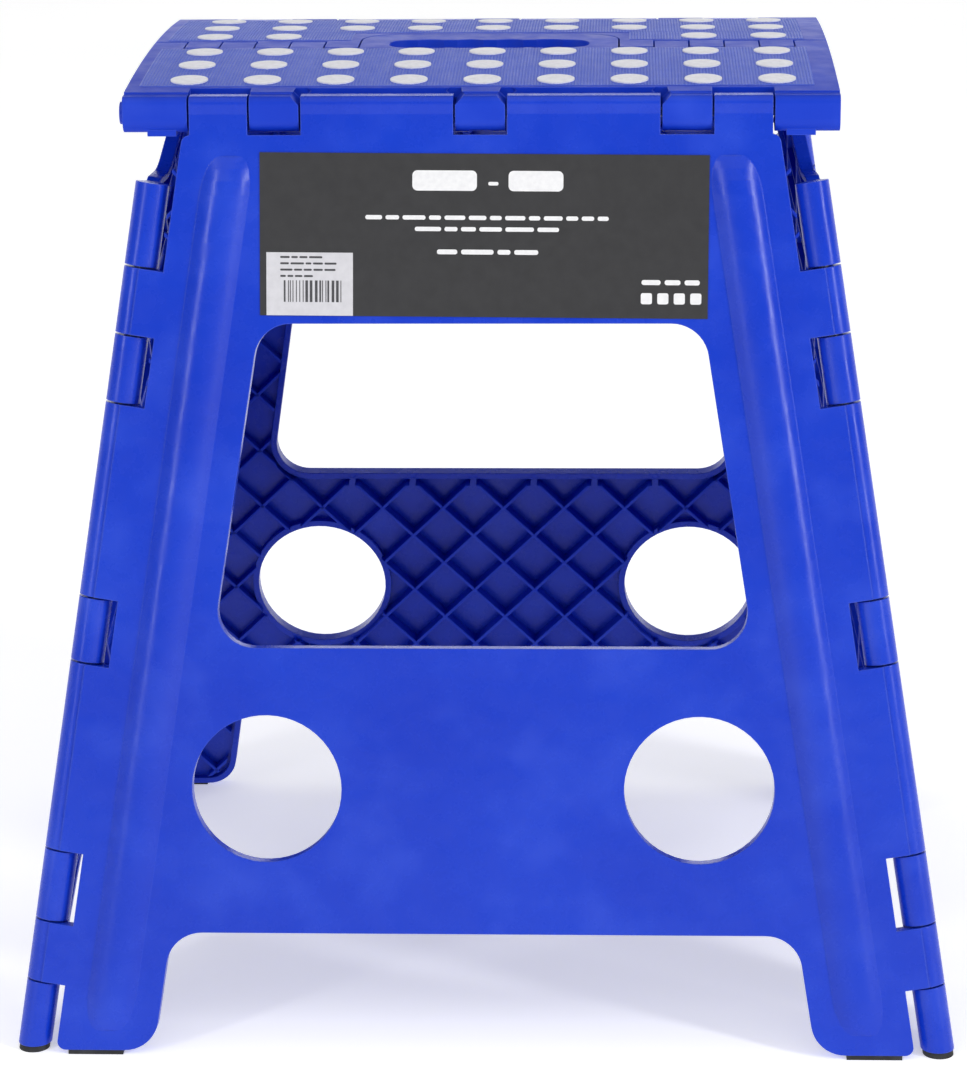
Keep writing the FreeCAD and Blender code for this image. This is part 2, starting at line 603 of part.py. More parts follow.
def top_half(label, rear):
    sign = 1 if rear else -1
    half = size("top_half_width")
    edge = TOP_Y - size("tread_edge")
    above = size("height") + 5
    below = TOP_Z - 12
    hinge = V(0, sign * TOP_Y, TOP_Z)
    middle = V(0, 0, CENTRE_Z)
    side = V(1, 0, 0)

    section = tread_section(sign, edge, -size("finger_reach"))
    pieces = [across_pad(label + "_plate", section, "Sizes.top_half_width")]
    for index, (start, end) in enumerate(TOP_HALF_KNUCKLES):
        start = max(start, -half)
        end = min(end, half)
        name = f"{label}_knuckle_{index}"
        pieces += top_knuckle(name, start, end, sign, FreeCAD.Placement(hinge, FreeCAD.Rotation()))
        loop = tread_section(sign, TOP_Y, edge - 1)
        web = across_pad(name + "_web", loop, f"{(end - start) / 2}")
        web.Placement = FreeCAD.Placement(side * ((start + end) / 2), FreeCAD.Rotation())
        pieces.append(web)
    fingers = [FINGERS[i] for i in ((0, 2, 4) if rear else (1, 3, 5))]
    others = [FINGERS[i] for i in ((1, 3, 5) if rear else (0, 2, 4))]
    if rear:
        others[-1] = (others[-1][0], half + 1)
    else:
        tongue_section = tread_section(-1, 12, -size("handle_reach") - 2)
        tongue = across_pad(label + "_tongue", tongue_section, "Sizes.handle_half")
        handle_plan = handle_outline(label + "_handle_plan", 0, below, above)
        pieces.append(common(label + "_handle", tongue, handle_plan))
    for index, (start, end) in enumerate(fingers):
        for way in (-1, 1):
            low = middle + side * way * (start + GAP / 2)
            high = middle + side * way * min(end - GAP / 2, half)
            pieces.append(cylinder(f"{label}_finger_{index}_{way + 1}", "Sizes.top_barrel", low, high))

    cavity_front = edge - 8 - (size("rear_pivot_play") if rear else 0)
    cavity_loop = tread_section(sign, cavity_front, 13, size("skin"), below)
    cavity = across_pad(label + "_cavity", cavity_loop, "Sizes.top_half_width - Sizes.skin")
    if rear:
        frame = handle_outline(label + "_frame", GAP + size("skin"), below, above)
        cavity = cut(label + "_cavity_cut", cavity, [frame])
    tools = [cavity]
    for index, (start, end) in enumerate(others):
        for way in (-1, 1):
            stretch = (way * (start - GAP / 2), way * (end + GAP / 2))
            tools.append(span(f"{label}_notch_{index}_{way + 1}", stretch,
                              (sign * size("finger_gap"), -sign * 20), (below, above)))
    if rear:
        tools.append(handle_outline(label + "_handle_room", GAP, below, above))
        for index, (start, end) in enumerate(TOP_LEG_KNUCKLES):
            tools.append(span(f"{label}_edge_room_{index}", (start - GAP, end + GAP),
                              (edge - size("rear_pivot_play"), TOP_Y + 20), (below, above)))
    else:
        tools.append(handle_opening(label + "_opening", below, above))
        latch = size("latch_half")
        tools.append(span(label + "_middle_notch", (-latch, latch),
                          (-TOP_Y - 9, -TOP_Y + 9), (below, TOP_Z - 6.3)))
        chamfer = size("corner_chamfer")
        for index, x in enumerate(WIDE_KNUCKLE_ENDS):
            corner = FreeCAD.Placement(V(x, -TOP_Y - 9, TOP_Z + BARREL), FreeCAD.Rotation(V(0, 1, 0), 45))
            high = V(chamfer, 16, chamfer)
            tools.append(block(f"{label}_corner_cut_{index}", V(-chamfer, 0, -chamfer), high, corner))
    room = "Sizes.top_barrel + Sizes.tread_clear + " + ("Sizes.rear_pivot_play" if rear else "0")
    for index, (start, end) in enumerate(TOP_LEG_KNUCKLES):
        ends = (hinge + side * (start - GAP), hinge + side * (end + GAP))
        tools.append(cylinder(f"{label}_room_{index}", room, *ends))
    hinge_play = "0" if rear else "Sizes.running"
    middle_play = "Sizes.running" if rear else "0"
    reach = side * (half + 2)
    tools.append(cylinder(label + "_hinge_bore", f"Sizes.rod + {hinge_play}", hinge - reach, hinge + reach))
    tools.append(cylinder(label + "_cap_seat", "Sizes.rod_head + Sizes.running",
                          hinge + side * (half - size("cap_recess")), hinge + reach))
    for index, (x, y) in enumerate(dot_places(rear)):
        tools.append(dot_disc(f"{label}_dot_seat_{index}", x, y, "Sizes.dot_radius + Sizes.dot_play", "4"))
    for way in (-1, 1):
        tools.append(cylinder(f"{label}_middle_bore_{way + 1}", f"Sizes.rod + {middle_play}",
                              middle + side * way * size("handle_half"), middle + reach * way))
    body = cut(label + "_cut", joined(label + "_solid", pieces), tools)
    if not rear:
        tabs = [span(f"{label}_stop_{way + 1}", (way * size("stop_inner"), way * size("stop_outer")),
                     (-TOP_Y - 5.5, -TOP_Y + 1), (TOP_Z - 8.5, TOP_Z - 4)) for way in (-1, 1)]
        stop_bore = cylinder(label + "_stop_bore", "Sizes.rod + Sizes.running", hinge - reach, hinge + reach)
        body = cut(label + "_with_stops", joined(label + "_stopped", [body] + tabs), [stop_bore])
    return finish(body, label)


def grip_dots(label, rear):
    discs = [dot_disc(f"{label}_{i}", x, y, "Sizes.dot_radius", "Sizes.dot_proud")
             for i, (x, y) in enumerate(dot_places(rear))]
    return finish(joined(label + "_group", discs), label)


# ---------------------------------------------------------------- rods, feet and label
def headed_rod(label, start, end):
    """A rod with a flat head at its start."""
    along = end - start
    along.normalize()
    shank = cylinder(label + "_shank", "Sizes.rod", start, end)
    head = cylinder(label + "_head", "Sizes.rod_head", start - along * size("rod_head_length"), start)
    return finish(joined(label + "_group", [shank, head]), label)


def plain_rod(label, start, end, place=None):
    rod = cylinder(label + "_rod", "Sizes.rod", start, end)
    rod.Placement = place.multiply(rod.Placement) if place else rod.Placement
    return finish(rod, label)


def above_floor(label, thing, height=60):
    floor_box = block(label + "_floor_limit", V(-400, -400, 0), V(400, 400, height))
    return finish(common(label + "_trimmed", thing, floor_box), label)


def foot_pad(label, side, rear):
    """A flat rubber pad under a leg panel's foot, level with the floor underneath."""
    centre = side * size("pad_centre")
    half = size("pad_length") / 2
    foot = TOP_DROP - size("foot_drop")
    pad = block(label + "_block", V(centre - half, -BARREL, foot - 12),
                V(centre + half, -BARREL + size("leg_depth"), foot), leg_place(rear))
    return above_floor(label, pad)


def round_foot(label, side, rear):
    """A thin round rubber foot under a side half's corner knuckle."""
    place = leg_place(rear)
    hand = -side if rear else side
    start = place.multVec(corner_point(hand, 380))
    end = place.multVec(corner_point(hand, 400))
    disc = cylinder(label + "_disc", "Sizes.round_foot", start, end)
    return above_floor(label, disc, size("round_foot_height"))


def front_label():
    """A printed label on the front skin, set a little out of square, with a small sticker on it."""
    turn = FreeCAD.Rotation(V(0, 1, 0), 0.5)
    centre = V(size("label_centre"), -BARREL, TOP_DROP - size("label_drop"))
    place = leg_place(False).multiply(FreeCAD.Placement(centre, turn))
    half_width = size("label_width") / 2
    half_height = size("label_height") / 2
    thick = size("label_thickness")
    corner = V(half_width, 0, half_height)
    plate = block("front_label_block", V(-half_width, -thick, -half_height), corner, place)
    finish(plate, "front_label")
    left = -half_width + size("sticker_left")
    low = -half_height + size("sticker_low")
    sticker = block("label_sticker_block", V(left, -thick - size("sticker_thickness"), low),
                    V(left + size("sticker_width"), -thick, low + size("sticker_height")), place)
    finish(sticker, "label_sticker")


# ---------------------------------------------------------------- the assembly
for rear in (False, True):
    end_name = "rear" if rear else "front"
    leg_panel(f"{end_name}_leg_panel", rear)
    top_half(f"top_{end_name}_panel", rear)
    grip_dots(f"top_{end_name}_grip_dots", rear)
    left_end = V(-size("top_half_width") - 0.1, 0, 0)
    right_end = V(size("top_half_width") - size("rod_head_length") - 0.1, 0, 0)
    hinge = V(0, TOP_Y if rear else -TOP_Y, TOP_Z)
    headed_rod(f"top_{end_name}_rod", hinge + left_end, hinge + right_end)
    cap = cylinder(f"top_{end_name}_cap_disc", "Sizes.rod_head", hinge + right_end,
                   hinge + right_end + V(size("rod_head_length"), 0, 0))
    finish(cap, f"top_{end_name}_rod_cap")
    for side in (-1, 1):
        name = f"{'right' if side > 0 else 'left'}_{end_name}"
        side_half(f"{name}_side_panel", side, rear, loose=side > 0 and rear)
        hand = -side if rear else side
        plain_rod(f"{name}_corner_rod", corner_point(hand, 38.6), corner_point(hand, 386.2), leg_place(rear))
        foot_pad(f"{name}_foot_pad", hand, rear)
        round_foot(f"{name}_round_foot", side, rear)
for side in (-1, 1):
    name = "right" if side > 0 else "left"
    inner = V(side * (size("handle_half") + GAP), 0, CENTRE_Z)
    plain_rod(f"top_middle_{name}_rod", inner, V(side * (size("top_half_width") - 0.5), 0, CENTRE_Z))
    low = V(0, 0, side_length(size("side_arch") + 5))
    high = V(0, 0, side_length(size("side_top") - 5))
    plain_rod(f"{name}_middle_rod", low, high, side_place(side, False))
front_label()


# ---------------------------------------------------------------- check and write
doc.recompute()
failed = [thing.Name for thing in doc.Objects if {"Invalid", "Error"} & set(thing.State)]
if failed:
    raise RuntimeError("failed features: " + ", ".join(failed))
for sub_part in SUB_PARTS:
    shape = sub_part.Shape
    if shape.isNull() or not shape.isValid() or not shape.Solids:
        raise RuntimeError(sub_part.Label + " has no valid solid")
    print(f"{sub_part.Label}: {len(shape.Solids)} solid(s), {shape.Volume / 1000:.1f} cm3")
for sub_part in SUB_PARTS:
    sub_part.Shape.exportStep(os.path.join("parts", sub_part.Label + ".step"))
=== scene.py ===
import json
import math
import random

import bmesh
import bpy
from mathutils import Matrix, Vector
from mathutils.geometry import intersect_line_line


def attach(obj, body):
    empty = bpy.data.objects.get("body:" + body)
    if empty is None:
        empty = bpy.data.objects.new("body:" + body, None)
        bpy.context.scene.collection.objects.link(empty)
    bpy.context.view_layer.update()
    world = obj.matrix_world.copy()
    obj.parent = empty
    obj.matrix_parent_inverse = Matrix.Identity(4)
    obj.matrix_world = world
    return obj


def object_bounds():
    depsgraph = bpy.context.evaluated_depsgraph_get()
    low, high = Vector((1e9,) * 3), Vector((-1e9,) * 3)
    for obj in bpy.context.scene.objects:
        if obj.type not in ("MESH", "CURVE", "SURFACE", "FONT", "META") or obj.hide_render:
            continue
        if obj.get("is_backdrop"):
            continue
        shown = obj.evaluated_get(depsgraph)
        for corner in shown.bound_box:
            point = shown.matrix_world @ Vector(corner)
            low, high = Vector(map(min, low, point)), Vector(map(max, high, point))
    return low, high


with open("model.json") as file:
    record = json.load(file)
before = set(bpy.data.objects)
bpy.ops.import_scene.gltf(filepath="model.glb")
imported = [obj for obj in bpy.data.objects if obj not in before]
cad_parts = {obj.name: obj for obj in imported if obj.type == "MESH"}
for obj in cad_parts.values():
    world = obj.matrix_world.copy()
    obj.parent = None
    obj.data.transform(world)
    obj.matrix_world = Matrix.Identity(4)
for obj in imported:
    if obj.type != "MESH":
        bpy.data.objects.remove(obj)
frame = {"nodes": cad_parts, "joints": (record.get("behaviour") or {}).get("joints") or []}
cad_low, cad_high = (corner.copy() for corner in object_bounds())
nodes = frame["nodes"]
joints = {joint["name"]: joint for joint in frame["joints"]}
MM = 0.001


# ---------------------------------------------------------------- view and studio
# The stool stands on a large sheet of white paper on a lit table. Two upright soft boxes
# light it from the front, and a white wall behind it is mirrored in the tread.
CAMERA_PLACE = Vector((0.0572, -1.5064, 0.6309))
CAMERA_YAW = -0.04088
CAMERA_PITCH = -0.29346
CAMERA_ROLL = -0.00981
CAMERA_LENS = 121.55
PAPER_HALF_WIDTH = 9.0
SOFT_BOXES = (
    ("soft_box_left", Vector((-2.1, -2.2, 1.25)), 0.3, 2.1, 24.0),
    ("soft_box_right", Vector((2.3, -1.5, 1.3)), 0.3, 2.1, 41.0),
)
AIM = Vector((0.0, 0.0, 0.2))
WHITE = (1.0, 1.0, 1.0, 1.0)
ROOM_GLOW = 0.24
WALL_GLOW = 1.7
SCRIM_POWER = 0.9
SCRIM_SPREAD = math.radians(80)
PAPER_GLOW = 0.46


def linear(code):
    """Turns an sRGB hex colour to the linear values that the shaders work in."""
    parts = [int(code[i:i + 2], 16) / 255 for i in (0, 2, 4)]
    turned = [c / 12.92 if c <= 0.04045 else ((c + 0.055) / 1.055) ** 2.4 for c in parts]
    return (*turned, 1.0)


def add(tree, kind, links=None, **settings):
    """Adds a node, with its settings, and its inputs linked or set."""
    made = tree.nodes.new(kind)
    for name, value in settings.items():
        setattr(made, name, value)
    for socket, source in (links or {}).items():
        if isinstance(source, bpy.types.NodeSocket):
            tree.links.new(source, made.inputs[socket])
        else:
            made.inputs[socket].default_value = source
    return made


def new_material(name):
    material = bpy.data.materials.new(name)
    material.use_nodes = True
    material.node_tree.nodes.clear()
    return material, material.node_tree


def link_object(name, data):
    made = bpy.data.objects.new(name, data)
    bpy.context.scene.collection.objects.link(made)
    return made


forward = Vector((
    math.sin(CAMERA_YAW) * math.cos(CAMERA_PITCH),
    math.cos(CAMERA_YAW) * math.cos(CAMERA_PITCH),
    math.sin(CAMERA_PITCH),
))
level_right = Vector((math.cos(CAMERA_YAW), -math.sin(CAMERA_YAW), 0.0))
level_up = level_right.cross(forward)
right = level_right * math.cos(CAMERA_ROLL) + level_up * math.sin(CAMERA_ROLL)
up = level_up * math.cos(CAMERA_ROLL) - level_right * math.sin(CAMERA_ROLL)
camera = link_object("camera", bpy.data.cameras.new("camera"))
camera.data.lens = CAMERA_LENS
camera.data.sensor_width = 36.0
camera.data.clip_end = 60.0
camera.matrix_world = Matrix.Translation(CAMERA_PLACE) @ Matrix((right, up, -forward)).transposed().to_4x4()
bpy.context.scene.camera = camera
bpy.context.scene.view_settings.view_transform = "Standard"

world = bpy.data.worlds.new("studio")
world.use_nodes = True
world.node_tree.nodes.clear()
bpy.context.scene.world = world
sky = world.node_tree
direction = add(sky, "ShaderNodeSeparateXYZ", {0: add(sky, "ShaderNodeTexCoord").outputs["Generated"]})
behind = add(sky, "ShaderNodeMapRange", {"Value": direction.outputs["Y"], "From Min": 0.1, "From Max": 0.75})
low_down = add(sky, "ShaderNodeMapRange", {
    "Value": direction.outputs["Z"], "From Min": 0.5, "From Max": 0.18,
})
wall = add(sky, "ShaderNodeMath", {
    0: behind.outputs["Result"], 1: low_down.outputs["Result"],
}, operation="MULTIPLY")
glow = add(sky, "ShaderNodeMapRange", {"Value": wall.outputs[0], "To Min": ROOM_GLOW, "To Max": WALL_GLOW})
background = add(sky, "ShaderNodeBackground", {"Color": WHITE, "Strength": glow.outputs["Result"]})
add(sky, "ShaderNodeOutputWorld", {"Surface": background.outputs[0]})

for name, place, width, height, power in SOFT_BOXES:
    data = bpy.data.lights.new(name, "AREA")
    data.shape = "RECTANGLE"
    data.size = width
    data.size_y = height
    data.energy = power
    lamp = link_object(name, data)
    lamp.location = place
    lamp.rotation_euler = (AIM - place).to_track_quat("-Z", "Y").to_euler()

overhead = bpy.data.lights.new("overhead_scrim", "SUN")
overhead.energy = SCRIM_POWER
overhead.angle = SCRIM_SPREAD
overhead_lamp = link_object("overhead_scrim", overhead)
overhead_lamp.rotation_euler = (math.radians(18), math.radians(-8), 0.0)

paper_material, tree = new_material("white_paper")
fibre = add(tree, "ShaderNodeTexNoise", {
    "Vector": add(tree, "ShaderNodeTexCoord").outputs["Object"], "Scale": 3.0, "Detail": 3.0,
})
tint = add(tree, "ShaderNodeValToRGB", {0: fibre.outputs["Fac"]})
tint.color_ramp.elements[0].color = linear("E9E9EA")
tint.color_ramp.elements[1].color = linear("F1F1F1")
surface = add(tree, "ShaderNodeBsdfPrincipled", {
    "Base Color": tint.outputs["Color"], "Roughness": 0.9, "Specular IOR Level": 0.1,
    "Emission Color": WHITE, "Emission Strength": PAPER_GLOW,
})
add(tree, "ShaderNodeOutputMaterial", {"Surface": surface.outputs[0]})
paper_mesh = bpy.data.meshes.new("paper")
reach = PAPER_HALF_WIDTH
paper_mesh.from_pydata(
    [(-reach, -reach, 0), (reach, -reach, 0), (reach, reach, 0), (-reach, reach, 0)], [], [(0, 1, 2, 3)]
)
paper_mesh.materials.append(paper_material)
link_object("paper", paper_mesh)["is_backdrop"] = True


# ---------------------------------------------------------------- blue mouldings
# Two leg panels, four side halves and the two halves of the tread are injection moulded in
# cobalt blue polypropylene, with satin faces and narrow rounded edges. Pins join them.
BLUE = "123DC6"
BLUE_DEEP = "0E35BC"
# A paler blue, used both for the painted highlight along rounded edges and for random haze.
PALE_BLUE_HIGHLIGHT_AND_HAZE = "5A76EA"
EDGE_ROUND_MM = 0.7
GRAIN_MM = 0.45
FLOW_MM = 60.0
SCUFF_MM = 9.0
DRAG_MM = 2.6
BLOOM_MM = 30.0
WAVE_MM = 16.0
RIB_PITCH_MM = 28.6
TOP_DROP_MM = 10.82
LEG_RIB_PHASE_MM = 270.3
LEAN = math.radians(8.58)
TOP_HINGE = Vector(joints["top_front_hinge"]["pos_m"])
SIDE_PANELS = [f"{hand}_{end}_side_panel" for hand in ("left", "right") for end in ("front", "rear")]


def give_material(node, material):
    """Puts a better finish in a carried-over node's material slots."""
    for place in node.material_slots:
        place.material = material


def sink_marks(tree, where, quarter_turns, normal):
    """Faint hollows in a leg panel's skin, over the crossings of the ribs behind it."""
    turned = add(tree, "ShaderNodeMapping", {
        "Vector": where, "Rotation": (0.0, 0.0, quarter_turns * math.pi / 2),
    }).outputs[0]
    leaned = add(tree, "ShaderNodeMapping", {"Vector": turned, "Rotation": (LEAN, 0.0, 0.0)}).outputs[0]
    hinge_up = TOP_HINGE.z * math.cos(LEAN) + TOP_HINGE.y * math.sin(LEAN)
    crossing = hinge_up + (TOP_DROP_MM - LEG_RIB_PHASE_MM) * MM
    at = add(tree, "ShaderNodeSeparateXYZ", {0: leaned}).outputs
    height = add(tree, "ShaderNodeMath", {0: at["Z"], 1: crossing}, operation="SUBTRACT").outputs[0]
    distances = []
    for way in ("ADD", "SUBTRACT"):
        slant = add(tree, "ShaderNodeMath", {0: at["X"], 1: height}, operation=way).outputs[0]
        count = add(tree, "ShaderNodeMath", {0: slant, 1: 1000 / RIB_PITCH_MM}, operation="MULTIPLY")
        distances.append(add(tree, "ShaderNodeMath", {
            0: count.outputs[0], 1: 0.5,
        }, operation="PINGPONG").outputs[0])
    nearest = add(tree, "ShaderNodeMath", {0: distances[0], 1: distances[1]}, operation="MINIMUM").outputs[0]
    farthest = add(tree, "ShaderNodeMath", {0: distances[0], 1: distances[1]}, operation="MAXIMUM").outputs[0]
    line = add(tree, "ShaderNodeMapRange", {
        "Value": nearest, "From Min": 0.0, "From Max": 0.05, "To Min": 1.0, "To Max": 0.0,
    }).outputs[0]
    near = add(tree, "ShaderNodeMapRange", {
        "Value": farthest, "From Min": 0.06, "From Max": 0.2, "To Min": 1.0, "To Max": 0.0,
    }).outputs[0]
    hollow = add(tree, "ShaderNodeMath", {0: line, 1: near}, operation="MULTIPLY").outputs[0]
    return add(tree, "ShaderNodeBump", {
        "Height": hollow, "Strength": 0.5, "Distance": 0.0004, "Normal": normal,
    }, invert=True).outputs["Normal"]


def moulded_polypropylene(name, colours, polish_range, painted_edge_highlight, gloss, sinks=None):
    """Satin plastic: faint colour flow, drag lines, fine grain, rounded edges painted paler as a highlight,
    and light scuffs.
    """
    material, tree = new_material(name)
    where = add(tree, "ShaderNodeTexCoord").outputs["Object"]
    flow = add(tree, "ShaderNodeTexNoise", {"Vector": where, "Scale": 1000 / FLOW_MM, "Detail": 3.0})
    shade = add(tree, "ShaderNodeValToRGB", {0: flow.outputs["Fac"]})
    shade.color_ramp.elements[0].position = 0.3
    shade.color_ramp.elements[0].color = linear(colours[0])
    shade.color_ramp.elements[1].position = 0.7
    shade.color_ramp.elements[1].color = linear(colours[1])
    rounded_edge = add(tree, "ShaderNodeBevel", {"Radius": EDGE_ROUND_MM * MM}, samples=6)
    # Where the rounded-edge normal turns away from the face normal, the colour is painted paler. This is a
    # painted highlight along every rounded edge.
    face = add(tree, "ShaderNodeNewGeometry")
    turned = add(tree, "ShaderNodeVectorMath", {
        0: rounded_edge.outputs["Normal"], 1: face.outputs["Normal"],
    }, operation="DOT_PRODUCT")
    edge = add(tree, "ShaderNodeMapRange", {
        "Value": turned.outputs["Value"], "From Min": 0.995, "From Max": 0.8,
    })
    edge_highlight_share = add(tree, "ShaderNodeMath", {
        0: edge.outputs["Result"], 1: painted_edge_highlight,
    }, operation="MULTIPLY")
    bloom = add(tree, "ShaderNodeTexNoise", {"Vector": where, "Scale": 1000 / BLOOM_MM, "Detail": 6.0})
    hazy = add(tree, "ShaderNodeMapRange", {
        "Value": bloom.outputs["Fac"], "From Min": 0.5, "From Max": 0.82, "To Max": 0.16,
    })
    highlight_and_haze = add(tree, "ShaderNodeMath", {0: edge_highlight_share.outputs[0], 1: hazy.outputs[0]}, operation="MAXIMUM")
    colour = add(tree, "ShaderNodeMix", {
        "Factor": highlight_and_haze.outputs[0], 6: shade.outputs["Color"], 7: linear(PALE_BLUE_HIGHLIGHT_AND_HAZE),
    }, data_type="RGBA")
    scuff = add(tree, "ShaderNodeTexNoise", {
        "Vector": where, "Scale": 1000 / SCUFF_MM, "Detail": 5.0, "Roughness": 0.6,
    })
    polish = add(tree, "ShaderNodeMapRange", {
        "Value": scuff.outputs["Fac"], "From Min": 0.35, "From Max": 0.7,
        "To Min": polish_range[0], "To Max": polish_range[1],
    })
    grain = add(tree, "ShaderNodeTexNoise", {"Vector": where, "Scale": 1000 / GRAIN_MM, "Detail": 2.0})
    drag_place = add(tree, "ShaderNodeMapping", {
        "Vector": where, "Scale": (1000 / DRAG_MM, 1000 / DRAG_MM, 12.0),
    })
    drag = add(tree, "ShaderNodeTexNoise", {"Vector": drag_place.outputs[0], "Scale": 1.0, "Detail": 2.0})
    wave = add(tree, "ShaderNodeTexNoise", {"Vector": where, "Scale": 1000 / WAVE_MM, "Detail": 1.0})
    uneven = add(tree, "ShaderNodeBump", {
        "Height": wave.outputs["Fac"], "Strength": 0.6, "Distance": 0.0006,
        "Normal": rounded_edge.outputs["Normal"],
    }).outputs["Normal"]
    dragged = add(tree, "ShaderNodeBump", {
        "Height": drag.outputs["Fac"], "Strength": 0.35, "Distance": 0.0002, "Normal": uneven,
    }).outputs["Normal"]
    if sinks:
        dragged = sink_marks(tree, where, sinks, dragged)
    bump = add(tree, "ShaderNodeBump", {
        "Height": grain.outputs["Fac"], "Strength": 0.25, "Distance": 0.00006, "Normal": dragged,
    })
    surface = add(tree, "ShaderNodeBsdfPrincipled", {
        "Base Color": colour.outputs[2], "Roughness": polish.outputs["Result"], "IOR": 1.49,
        "Specular IOR Level": gloss, "Normal": bump.outputs["Normal"],
    })
    add(tree, "ShaderNodeOutputMaterial", {"Surface": surface.outputs[0]})
    return material


blues = (BLUE_DEEP, BLUE)
satin_blue = moulded_polypropylene("moulded_polypropylene", blues, (0.22, 0.34), 0.4, 0.32)
rib_blue = moulded_polypropylene("ribbed_polypropylene", blues, (0.34, 0.46), 0.12, 0.24)
tread_blue = moulded_polypropylene("moulded_polypropylene_worn_smooth", blues, (0.4, 0.52), 0.5, 0.2)
for name in SIDE_PANELS:
    give_material(nodes[name], satin_blue)
for name in ("top_front_panel", "top_rear_panel"):
    give_material(nodes[name], tread_blue)
for name, quarter_turns in (("front_leg_panel", 0), ("rear_leg_panel", 2)):
    skin = moulded_polypropylene(
        "moulded_polypropylene_over_ribs", blues, (0.22, 0.34), 0.4, 0.32, sinks=quarter_turns
    )
    give_material(nodes[name], skin)


# ---------------------------------------------------------------- diamond ribs of the leg panels
# Both leg panels are stiffened from behind by thin ribs crossing in diamonds, moulded in one
# with the skin. They stand proud of the rim in the middle and slope back towards the sides.
RIB_WIDTH_MM = 1.35
LEG_RIB_LOW_MM = -2.25
LEG_RIB_HIGH_MM = 4.7
NO_LIMIT = {"Limit": -999.0, "Limit Across": 0.0, "Limit Along": 0.0}
LEG_LIMIT = {"Limit": -3.75, "Limit Across": 0.0415, "Limit Along": 0.0064}
BAR_LENGTH_MM = 900.0
BAR_CUTS = 31
LOWER_FAMILY_MM = 0.03
HOLE_STEPS = 40
CORNER_STEPS = 7


def leg_frame(rear):
    """The leg panel's own frame in millimetres: X across, Z up the slope, -Y out of the skin."""
    turn = Matrix.Rotation(math.pi if rear else 0.0, 4, "Z")
    hinge = Matrix.Translation((0.0, TOP_HINGE.y, TOP_HINGE.z))
    return turn @ hinge @ Matrix.Rotation(-LEAN, 4, "X") @ Matrix.Scale(MM, 4)


def rounded_loop(corners):
    """A closed outline of (x, y, radius) corners as points, with an arc at each corner."""
    points = []
    count = len(corners)
    for index, (x, y, radius) in enumerate(corners):
        here = Vector((x, y))
        before = (Vector(corners[index - 1][:2]) - here).normalized()
        after = (Vector(corners[(index + 1) % count][:2]) - here).normalized()
        half = before.angle(after) / 2
        middle = (before + after).normalized()
        centre = here + middle * (radius / math.sin(half))
        start = (here + before * (radius / math.tan(half))) - centre
        end = (here + after * (radius / math.tan(half))) - centre
        swing = start.angle_signed(end)
        for step in range(CORNER_STEPS + 1):
            arm = start.copy()
            arm.rotate(Matrix.Rotation(-swing * step / CORNER_STEPS, 2))
            points.append(centre + arm)
    return points


def mirrored(corners):
    return corners + [(-x, y, radius) for x, y, radius in reversed(corners)]


def circle_loop(x, y, radius):
    turns = [math.tau * step / HOLE_STEPS for step in range(HOLE_STEPS)]
    return [Vector((x + radius * math.cos(t), y + radius * math.sin(t))) for t in turns]


